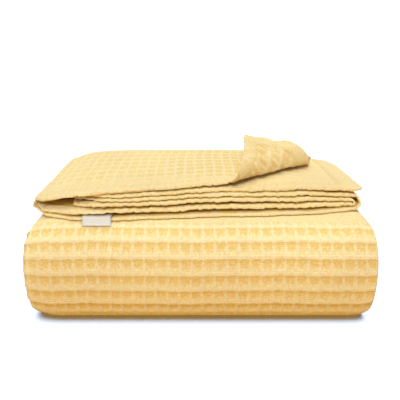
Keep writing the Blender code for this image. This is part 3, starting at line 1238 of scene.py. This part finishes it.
    def relief(self, across: Array, along: Array, side: Array) -> tuple[Array, Array]:
        """Return the waffle's relief, and where the creases under the ridges are.

        The reverse has its ridges where the face has its cells.

        Args:
            across: Distances across the sheet.
            along: Distances along the sheet.
            side: 1 on the face and -1 on the reverse.

        Returns:
            The relief, from -1 in a pit to 1 on a ridge, and the creases, from 0 to 1.
        """
        weave = self.weave
        own = self.weave_along(along)
        shift = np.where(side > 0, 0.0, 0.5)
        u = across - self.ridge_across + weave.drift.at(own, across) + shift * weave.across
        v = own + weave.wander.at(across, along) + shift * weave.along
        hanging = self.on_front(along, self.hangs) * (side > 0)
        height = weave.height(u, v, hanging)
        deep = np.maximum(height * weave.variation(u, v), -weave.deepest)
        return np.where(height < 0, deep, height), weave.under_ridge(v, hanging)

    def gather_rows(self, along: Array, side: Array) -> Array:
        """Return the rows of points drawn together under the ridges of the front.

        Args:
            along: Distances along the sheet.
            side: 1 on the face and -1 on the reverse.

        Returns:
            The new distances, the same at every ridge.
        """
        own = self.weave_along(along)
        cell = np.floor(own / self.weave.along)
        down = 1 - (own / self.weave.along - cell)
        gathered = (cell + 1 - down ** self.gathering) * self.weave.along
        moved = np.interp(gathered, self.weave_along(self.fine_along), self.fine_along)
        share = self.on_front(along, self.gathers) * (side > 0)
        return along + (moved - along) * share

    def surface(self, flat: Array) -> tuple[Array, Array]:
        """Fold the slab's points.

        Args:
            flat: Rows of across, along and height in the flat slab.

        Returns:
            The folded points in the part's frame, and the relief at each point, from
            ON_RIDGE by way of IN_PIT to IN_GAP, which also carries the painted shade of the
            creases and of the gaps between layers.
        """
        side = np.where(flat[:, 2] > 0, 1.0, -1.0)
        across, along = flat[:, 0], self.gather_rows(flat[:, 1], side)
        weave = self.weave
        strength = self.relief_strength(across, along, side)
        relief, crease = (part * strength for part in self.relief(across, along, side))
        raised = np.where(relief > 0, relief * weave.ridge, relief * weave.pit)
        half = self.half_thickness(across, along, side) + raised
        # painted shade: the creases right under the ridges, and the lines of stitches, are coloured
        # deeper than the cloth beside them
        relief -= self.seam_shade * self.seam(across, along) + self.crease_shade * crease
        # painted shade: cloth between two layers is coloured towards the gap colour
        covered = self.covered(across, along, side)
        relief = np.minimum(relief, ON_RIDGE + (IN_GAP - ON_RIDGE) * covered)
        nearness = np.clip(self.edge_distance(across, along) / self.edge_rounding, 0, 1)
        rounding = np.sqrt(np.maximum(1 - (1 - nearness) ** 2, self.edge_share ** 2))
        half = np.maximum(half, self.thinnest) * rounding
        folded = self.place(across, along) + self.outward(across, along) * (side * half)[:, None]
        folded += self.offset
        folded[:, 2] = np.maximum(folded[:, 2], 0.0)
        return folded, relief


# --- Materials -----------------------------------------------------------------
BANDS = 3.2                            # bands to the metre of a wave texture at scale 1
MIX_A, MIX_B, MIX_RESULT = 6, 7, 2     # the colour sockets of a Mix node


def to_linear(colour: str) -> tuple[float, float, float, float]:
    """Turn an sRGB hex colour into linear light.

    Args:
        colour: Six hex digits after a hash.

    Returns:
        Red, green, blue and full alpha.
    """
    parts = [int(colour[k:k + 2], 16) / 255 for k in (1, 3, 5)]
    linear = [c / 12.92 if c <= 0.04045 else ((c + 0.055) / 1.055) ** 2.4 for c in parts]
    return (*linear, 1.0)


@dataclass
class NodeTree:
    """A material's node tree, with a shorter way to add to it."""

    material: bpy.types.Material

    def add(
            self, kind: str, links: dict[Any, Any] | None = None, **settings: Any,
    ) -> bpy.types.Node:
        """Add a node with its settings and links.

        Args:
            kind: The node's type, without the words ShaderNode.
            links: What goes into each of its inputs, a socket or a value.
            settings: The node's own settings.

        Returns:
            The node.
        """
        node = self.material.node_tree.nodes.new("ShaderNode" + kind)
        for name, value in settings.items():
            setattr(node, name, value)
        self.fill(node, links or {})
        return node

    def fill(self, node: bpy.types.Node, links: dict[Any, Any]) -> None:
        """Set or link a node's inputs.

        Args:
            node: The node.
            links: What goes into each of its inputs, a socket or a value.
        """
        for name, value in links.items():
            if isinstance(value, bpy.types.NodeSocket):
                self.material.node_tree.links.new(value, node.inputs[name])
            else:
                node.inputs[name].default_value = value


def new_material(name: str) -> tuple[bpy.types.Material, NodeTree, bpy.types.Node]:
    """Start a material.

    Args:
        name: What the real material is.

    Returns:
        The material, its node tree and its shader.
    """
    material = bpy.data.materials.new(name)
    material.use_nodes = True
    return material, NodeTree(material), material.node_tree.nodes["Principled BSDF"]


@dataclass(frozen=True)
class WaffleCotton:
    """Piece-dyed cotton in a waffle weave, washed soft.

    Soft-spun cotton yarn is matt with a fine bloom of loose fibres. The pits are coloured
    deeper and warmer than the ridges: painted shade for the light that bounces in them,
    with the ridges partly a little paler as worn. Light goes a few millimetres into the
    cloth, and narrow gaps between layers are coloured ochre as painted shade, so they
    never come out black.
    """

    ridge_colour: str = "#FCE7B3"
    # painted shade: the deeper, warmer colour that the pits get, and partly the ridges worn paler
    pit_shade_colour: str = "#F2D080"
    # painted shade: the ochre that narrow gaps between layers are coloured
    gap_shade_colour: str = "#FFDA78"
    yarn: float = 1.5 * MM       # drawn about twice as coarse as the yarn, so that it shows
    fuzz: float = 2.4 * MM       # size of the tufts of loose fibre
    roughness: float = 0.95
    specular: float = 0.12
    sheen: float = 0.08
    through: float = 0.3         # how much of the light goes into the cloth
    depth: float = 1.5 * MM      # how far it gets

    def build(self) -> bpy.types.Material:
        """Make the material, which reads the sheet's own UV map and relief.

        Returns:
            The material.
        """
        material, tree, shader = new_material("waffle weave cotton")
        flat = tree.add("UVMap", uv_map="flat_sheet").outputs["UV"]
        relief = tree.add("Attribute", attribute_name="relief").outputs["Fac"]
        warp, weft = (
            tree.add("TexWave", {
                "Vector": flat, "Scale": 1 / self.yarn / BANDS, "Distortion": 2.4,
                "Detail": 2.0, "Detail Scale": 1.6}, bands_direction=direction)
            for direction in ("X", "Y"))
        fuzz = tree.add("TexNoise", {
            "Vector": flat, "Scale": 1 / self.fuzz, "Detail": 3.0, "Roughness": 0.7})
        cloud = tree.add("TexNoise", {"Vector": flat, "Scale": 9.0, "Detail": 3.0})
        yarns = tree.add(
            "Math", {0: warp.outputs["Fac"], 1: weft.outputs["Fac"]}, operation="MULTIPLY")
        tufts = tree.add("Math", {0: fuzz.outputs["Fac"], 1: 2.2}, operation="MULTIPLY")
        grain = tree.add("Math", {0: yarns.outputs[0], 1: tufts.outputs[0]}, operation="ADD")
        depth = tree.add("MapRange", {"Value": relief, "From Min": IN_PIT, "From Max": ON_RIDGE})
        mottle = tree.add("MapRange", {
            "Value": fuzz.outputs["Fac"], "From Min": 0.32, "From Max": 0.68,
            "To Min": -0.5, "To Max": 0.5})
        shade = tree.add(
            "Math", {0: depth.outputs["Result"], 1: mottle.outputs["Result"]},
            operation="ADD", use_clamp=True)
        # painted shade: the lower the relief, the nearer the colour is to the pit colour
        woven = tree.add("Mix", {
            "Factor": shade.outputs[0],
            MIX_A: to_linear(self.pit_shade_colour), MIX_B: to_linear(self.ridge_colour)},
            data_type="RGBA")
        both = tree.add("Math", {0: cloud.outputs["Fac"], 1: fuzz.outputs["Fac"]}, operation="ADD")
        # painted shade: relief below the deepest pit goes over into the gap colour
        between = tree.add("MapRange", {
            "Value": relief, "From Min": -Weave().deepest, "From Max": IN_GAP})
        colour = tree.add("Mix", {
            "Factor": between.outputs["Result"],
            MIX_A: woven.outputs[MIX_RESULT], MIX_B: to_linear(self.gap_shade_colour)},
            data_type="RGBA")
        uneven = tree.add("MapRange", {
            "Value": both.outputs[0], "From Min": 0.7, "From Max": 1.3,
            "To Min": 0.93, "To Max": 1.05})
        dyed = tree.add("HueSaturation", {
            "Color": colour.outputs[MIX_RESULT], "Value": uneven.outputs["Result"]})
        bump = tree.add("Bump", {"Height": grain.outputs[0], "Strength": 0.8, "Distance": 0.6 * MM})
        tree.fill(shader, {
            "Base Color": dyed.outputs["Color"],
            "Normal": bump.outputs["Normal"],
            "Roughness": self.roughness,
            "Specular IOR Level": self.specular,
            "Sheen Weight": self.sheen,
            "Sheen Roughness": 0.6,
            "Sheen Tint": to_linear(self.ridge_colour),
            "Subsurface Weight": self.through,
            "Subsurface Scale": self.depth,
            "Subsurface Radius": (1.0, 0.8, 0.5),
        })
        return material


@dataclass(frozen=True)
class LabelTape:
    """Damask label tape, woven from bright polyester: smooth, pale and faintly glossy."""

    colour: str = "#D5CDBE"
    thread: float = 0.9 * MM     # drawn coarser than the thread, so that it shows

    def build(self) -> bpy.types.Material:
        """Make the material, which reads the label's own UV map.

        Returns:
            The material.
        """
        material, tree, shader = new_material("woven damask label tape")
        flat = tree.add("UVMap", uv_map="flat_tape").outputs["UV"]
        ribs = tree.add("TexWave", {
            "Vector": flat, "Scale": 1 / self.thread / BANDS, "Distortion": 0.4},
            bands_direction="Y")
        grain = tree.add("TexNoise", {"Vector": flat, "Scale": 900.0, "Detail": 3.0})
        both = tree.add("Math", {0: ribs.outputs["Fac"], 1: grain.outputs["Fac"]}, operation="ADD")
        tone = tree.add("MapRange", {
            "Value": grain.outputs["Fac"], "From Min": 0.3, "From Max": 0.7,
            "To Min": 0.95, "To Max": 1.02})
        dyed = tree.add("HueSaturation", {
            "Color": to_linear(self.colour), "Value": tone.outputs["Result"]})
        bump = tree.add("Bump", {"Height": both.outputs[0], "Strength": 0.3, "Distance": 0.2 * MM})
        tree.fill(shader, {
            "Base Color": dyed.outputs["Color"],
            "Normal": bump.outputs["Normal"],
            "Roughness": 0.5,
            "Sheen Weight": 0.1,
        })
        return material


@dataclass(frozen=True)
class StudioPaper:
    """Matt background paper, a faintly cool white."""

    colour: str = "#B9C8E2"

    def build(self) -> bpy.types.Material:
        """Make the material, with a faint grain of its own.

        Returns:
            The material.
        """
        material, tree, shader = new_material("matt background paper")
        place = tree.add("TexCoord").outputs["Object"]
        grain = tree.add("TexNoise", {"Vector": place, "Scale": 40.0})
        bump = tree.add("Bump", {
            "Height": grain.outputs["Fac"], "Strength": 0.02, "Distance": 1 * MM})
        tree.fill(shader, {
            "Base Color": to_linear(self.colour),
            "Normal": bump.outputs["Normal"],
            "Roughness": 0.9,
            "Specular IOR Level": 0.1,
        })
        return material


# --- Pieces --------------------------------------------------------------------
def add_piece(name: str, mesh: bmesh.types.BMesh, material: bpy.types.Material) -> bpy.types.Object:
    """Make an object of a mesh, smooth and with its material.

    Args:
        name: The piece's name.
        mesh: Its mesh, which is freed.
        material: Its material.

    Returns:
        The object, at the origin.
    """
    data = bpy.data.meshes.new(name)
    mesh.to_mesh(data)
    mesh.free()
    data.materials.append(material)
    data.shade_smooth()
    piece = bpy.data.objects.new(name, data)
    bpy.context.scene.collection.objects.link(piece)
    return piece


def set_flat_map(data: bpy.types.Mesh, name: str, flat: Array) -> None:
    """Give a mesh a UV map that is its cloth laid flat, in metres.

    Args:
        data: The mesh.
        name: The map's name.
        flat: Rows of across and along, one for each of its points.
    """
    corners = np.zeros(len(data.loops), np.int32)
    data.loops.foreach_get("vertex_index", corners)
    layer = data.uv_layers.new(name=name)
    layer.data.foreach_set("uv", flat[corners, :2].astype(np.float32).ravel())


class Way(Enum):
    """The two directions of the flat slab."""

    ACROSS = 0
    ALONG = 1


@dataclass(frozen=True)
class Cut:
    """A stretch of the flat slab that is cut more finely in one direction.

    Attributes:
        way: The direction in which it gets more faces.
        cuts: How many new lines go between two old ones.
        across: From where to where the stretch goes across the sheet.
        along: From where to where it goes along the sheet.
        sides: The faces of the sheet that are cut.
    """

    way: Way
    cuts: int
    across: tuple[float, float]
    along: tuple[float, float]
    sides: tuple[Side, ...]


@dataclass
class Blanket:
    """The folded blanket, one piece with its hems."""

    sheet: FoldedSheet = field(default_factory=FoldedSheet)
    cotton: WaffleCotton = field(default_factory=WaffleCotton)
    flat_width: float = 2.286
    flat_length: float = 1.524

    def flat_slab(self) -> bmesh.types.BMesh:
        """Make the sheet as a thin closed slab, cut finely where the waffle shows.

        Returns:
            The slab, lying flat.
        """
        columns = self.sheet.section.columns(self.sheet.ridge_across)
        rows = self.sheet.rows()
        mesh = bmesh.new()
        bmesh.ops.create_grid(
            mesh, x_segments=len(columns) - 1, y_segments=len(rows) - 1, size=0.5)
        for vert in mesh.verts:
            column = round((vert.co.x + 0.5) * (len(columns) - 1))
            row = round((vert.co.y + 0.5) * (len(rows) - 1))
            vert.co = (columns[column], rows[row], 0.0)
        bmesh.ops.solidify(mesh, geom=mesh.faces[:], thickness=self.sheet.slab)
        heights = [vert.co.z for vert in mesh.verts]
        middle = (min(heights) + max(heights)) / 2
        bmesh.ops.translate(mesh, verts=mesh.verts[:], vec=(0, 0, -middle))
        for cut in self.cuts():
            mesh.normal_update()
            self.refine(mesh, cut)
        return mesh

    def cuts(self) -> tuple[Cut, ...]:
        """Choose where the slab is cut more finely, and how.

        Where the waffle shows, a cell gets eight columns of faces, and a row of the
        slab four. The hems of the other layers get four to a cell, as far in as they
        show.

        Returns:
            The cuts, in their order.
        """
        sheet, path = self.sheet, self.sheet.path
        spans = sheet.section.layer_spans
        stitched, width = sheet.section.hem_lines[-1], sheet.section.across[-1]
        first_layer = (stitched, spans[0][1])
        face_shows = (BEFORE, spans[1][0])
        top_end, back_end = 0.20, path.spans[0][1] + 8 * MM
        front = (path.spans[1][0] - 12 * MM, sheet.front_top + 42 * MM)
        side_hem, hem_shows = (3 * MM, 20 * MM), 12 * MM
        flap_across, flap_along = 0.19, 0.18
        second_layer, second_along = spans[5][0] + sheet.zones.shown, 0.21
        columns, rows = 7, 3
        face, reverse = (Side.FACE,), (Side.REVERSE,)
        hems = tuple(
            Cut(Way.ACROSS, 4 * layer.cells - 1, span, (BEFORE, hem_shows), tuple(Side))
            for layer, span in list(zip(LAYERS, spans))[1:])
        return (
            Cut(Way.ACROSS, columns, first_layer, (BEFORE, back_end), face),
            Cut(Way.ACROSS, columns, first_layer, front, face),
            Cut(Way.ALONG, rows, face_shows, (stitched, top_end), face),
            Cut(Way.ALONG, 1, (BEFORE, spans[0][1]), (top_end, back_end), face),
            Cut(Way.ALONG, rows, face_shows, front, face),
            Cut(Way.ACROSS, 3, side_hem, front, face),
            Cut(Way.ACROSS, columns, (stitched, flap_across), (BEFORE, flap_along), reverse),
            Cut(Way.ALONG, rows, (BEFORE, flap_across), (stitched, flap_along), reverse),
            Cut(Way.ACROSS, columns, (second_layer, width - stitched), (hem_shows, second_along),
                reverse),
            *hems)

    @staticmethod
    def refine(mesh: bmesh.types.BMesh, cut: Cut) -> None:
        """Cut a stretch of the slab more finely.

        Args:
            mesh: The flat slab.
            cut: Where and how it is cut.
        """
        sides = {side.value for side in cut.sides}
        axis = cut.way.value
        edges = {}      # in the order of the faces, so that each run gives the same mesh
        for face in mesh.faces:
            middle = face.calc_center_median()
            inside = (cut.across[0] < middle.x < cut.across[1]
                      and cut.along[0] < middle.y < cut.along[1])
            upright = abs(face.normal.z) < 0.5
            if not inside or upright or math.copysign(1, middle.z) not in sides:
                continue
            for edge in face.edges:
                way = edge.verts[0].co - edge.verts[1].co
                if abs(way[axis]) > FLAT and abs(way[1 - axis]) < FLAT:
                    edges[edge] = True
        bmesh.ops.subdivide_edges(mesh, edges=list(edges), cuts=cut.cuts, use_grid_fill=True)

    def build(self) -> bpy.types.Object:
        """Returns:
            The piece.
        """
        piece = add_piece("waffle_blanket", self.flat_slab(), self.cotton.build())
        data = piece.data
        flat = np.zeros(len(data.vertices) * 3, np.float32)
        data.vertices.foreach_get("co", flat)
        flat = flat.reshape(-1, 3).astype(float)
        folded, relief = self.sheet.surface(flat)
        set_flat_map(data, "flat_sheet", flat)
        attribute = data.attributes.new("relief", "FLOAT", "POINT")
        attribute.data.foreach_set("value", relief.astype(np.float32))
        data.vertices.foreach_set("co", folded.astype(np.float32).ravel())
        data.flip_normals()
        data.update()
        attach(piece, "root")
        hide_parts("blanket_cloth")
        return piece


@dataclass
class HemLabel:
    """The woven label that comes out from under a hem and hangs over the lowest one."""

    sheet: FoldedSheet = field(default_factory=FoldedSheet)
    tape: LabelTape = field(default_factory=LabelTape)
    thickness: float = 0.8 * MM
    length: float = 29 * MM
    sewn_in: float = 0.48        # the share of it that lies under the hem
    swing: float = 2.2 * MM      # how far its free end hangs to the right
    # its way, by shares of its length: millimetres behind the hem's edge, and over the
    # lowest point of its solid
    behind: tuple[tuple[float, ...], ...] = (
        (0, 0.48, 0.55, 0.65, 0.76, 1.0), (14, 2, -0.9, -2.4, -4.6, -10.2))
    over: tuple[tuple[float, ...], ...] = (
        (0, 0.48, 0.58, 0.67, 0.78, 1.0), (5.3, 5.3, 4.6, 3.1, 1.4, 0.2))

    def build(self) -> bpy.types.Object:
        """Build the label, a bent strip of tape in the place of its solid.

        Returns:
            The piece.
        """
        low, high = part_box("hem_label")
        shift = self.sheet.offset
        beside = np.linspace(low.x, high.x, 9) - shift[0]
        hem_line = self.sheet.front_hems.line(np.zeros_like(beside), beside)
        hem_y = float(hem_line.min()) + shift[1]
        mesh = bmesh.new()
        bmesh.ops.create_grid(mesh, x_segments=12, y_segments=24, size=0.5)
        for vert in mesh.verts:
            share = 0.5 - vert.co.y
            across = vert.co.x + 0.5
            swung = self.swing * max(share - self.sewn_in, 0) / (1 - self.sewn_in)
            vert.co = (
                low.x + across * (high.x - low.x) + swung,
                hem_y + np.interp(share, *self.behind) * MM,
                low.z + np.interp(share, *self.over) * MM)
        bmesh.ops.solidify(mesh, geom=mesh.faces[:], thickness=self.thickness)
        piece = add_piece("woven_label", mesh, self.tape.build())
        points = np.array([vert.co for vert in piece.data.vertices])
        start = np.array((low.x, high.y, 0.0))
        set_flat_map(piece.data, "flat_tape", np.abs(points - start))
        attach(piece, "root")
        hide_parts("hem_label")
        return piece


@dataclass(frozen=True)
class SoftSun:
    """A large soft light from far away, which lights the whole floor evenly.

    Attributes:
        name: The light's name.
        place: The direction that it comes from.
        lit: How brightly it lights white paper that faces it, from 0 to 1.
        softness: The angle that it fills.
        on_floor: Whether it lights the floor and nothing else, or all but the floor.
    """

    name: str
    place: tuple[float, float, float]
    lit: float
    softness: float
    on_floor: bool = False

    def build(self, floor: bpy.types.Object) -> None:
        """Add the light.

        Args:
            floor: The floor.
        """
        light = bpy.data.lights.new(self.name, "SUN")
        light.energy = self.lit * math.pi
        light.angle = self.softness
        lamp = bpy.data.objects.new(self.name, light)
        lamp.location = self.place
        lamp.rotation_euler = (-Vector(self.place)).to_track_quat("-Z", "Y").to_euler()
        linked = bpy.data.collections.new(self.name + "_links")
        linked.objects.link(floor)
        if not self.on_floor:
            linked.collection_objects[0].light_linking.link_state = "EXCLUDE"
        lamp.light_linking.receiver_collection = linked
        bpy.context.scene.collection.objects.link(lamp)


@dataclass
class Studio:
    """The floor, the lights and the camera."""

    paper: StudioPaper = field(default_factory=StudioPaper)
    floor_size: float = 40.0
    suns: tuple[SoftSun, ...] = (
        SoftSun("key", (-0.12, -0.75, 0.90), 0.58, math.radians(32)),
        SoftSun("over", (0.1, 0.35, 1.0), 0.60, math.radians(60)),
        SoftSun("floor_wash", (0.0, -0.4, 1.0), 2.7, math.radians(40), True),
    )
    sky: tuple[tuple[float, tuple[float, float, float]], ...] = (    # by height, from below
        (-1.00, (1.00, 0.62, 0.06)),
        (-0.80, (0.92, 0.55, 0.05)),
        (-0.45, (0.84, 0.42, 0.02)),
        (-0.14, (0.90, 0.46, 0.02)),
        (-0.10, (1.05, 1.05, 1.05)),
        (0.11, (1.05, 1.05, 1.05)),
        (0.30, (0.17, 0.17, 0.17)),
    )
    lens: float = 43.2
    pitch: float = math.radians(19.58)
    camera_x: float = -3.88 * MM      # in the frame of the folded plan
    camera_height: float = 0.320
    camera_distance: float = 0.460

    def build(self) -> None:
        """Add the floor, the lights and the camera."""
        mesh = bmesh.new()
        bmesh.ops.create_grid(mesh, x_segments=1, y_segments=1, size=self.floor_size / 2)
        floor = add_piece("studio_floor", mesh, self.paper.build())
        floor.visible_diffuse = False      # the light from below comes through it
        for sun in self.suns:
            sun.build(floor)
        self.add_world()
        bpy.context.scene.view_settings.view_transform = "Standard"
        self.add_camera()

    def add_world(self) -> None:
        """Add the room's light: dim above, white at the horizon, warm from below."""
        world = bpy.data.worlds.new("studio")
        world.use_nodes = True
        nodes, links = world.node_tree.nodes, world.node_tree.links
        direction = nodes.new("ShaderNodeSeparateXYZ")
        links.new(nodes.new("ShaderNodeTexCoord").outputs["Generated"], direction.inputs[0])
        height = nodes.new("ShaderNodeMapRange")
        height.inputs["From Min"].default_value = -1.0
        links.new(direction.outputs["Z"], height.inputs["Value"])
        ramp = nodes.new("ShaderNodeValToRGB")
        links.new(height.outputs["Result"], ramp.inputs["Fac"])
        elements = ramp.color_ramp.elements
        while len(elements) < len(self.sky):
            elements.new(0.5)
        for element, (level, colour) in zip(elements, self.sky):
            element.position = (level + 1) / 2
            element.color = (*colour, 1.0)
        links.new(ramp.outputs["Color"], nodes["Background"].inputs["Color"])
        bpy.context.scene.world = world

    def add_camera(self) -> None:
        """Add the camera at the photograph's angle."""
        lens = bpy.data.cameras.new("camera")
        lens.lens = self.lens
        camera = bpy.data.objects.new("camera", lens)
        x, front, _ = FoldedSheet().offset + (self.camera_x, 0.0, 0.0)
        camera.location = (x, front - self.camera_distance, self.camera_height)
        camera.rotation_euler = (math.pi / 2 - self.pitch, 0.0, 0.0)
        bpy.context.scene.collection.objects.link(camera)
        bpy.context.scene.camera = camera


def main() -> None:
    """Build the blanket, its label and the studio."""
    logging.basicConfig(level=logging.INFO, format="%(name)s: %(message)s")
    for builder in (Blanket(), HemLabel()):
        piece = builder.build()
        LOG.info("%s: %d faces", piece.name, len(piece.data.polygons))
    Studio().build()
    LOG.info("studio ready")


if __name__ == "__main__":
    main()
